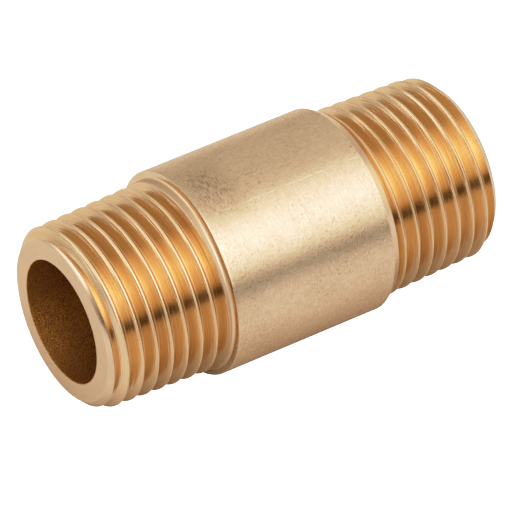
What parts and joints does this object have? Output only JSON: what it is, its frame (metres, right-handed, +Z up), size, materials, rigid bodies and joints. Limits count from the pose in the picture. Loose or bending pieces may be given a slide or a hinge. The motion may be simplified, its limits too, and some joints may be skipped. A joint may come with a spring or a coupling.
{
  "type": "barrel nipple",
  "caption": "Short brass pipe nipple: a round plain barrel with a through bore and an external taper pipe thread on each end.",
  "frame": {"origin": "on the bore's axis, half way between the two end faces", "axes": "+X along the bore from the front end, whose thread stops in a square shoulder, to the rear end, whose thread stops at a chamfered shoulder; +Z up as the nipple lies on its side"},
  "size_m": [0.05, 0.0234, 0.0234],
  "materials": {
    "turned_brass": "bare turned brass: satin drawn barrel, fine machining marks on the threads and end faces"
  },
  "bodies": {
    "root": {"nipple_body": "turned_brass"}
  },
  "joints": []
}
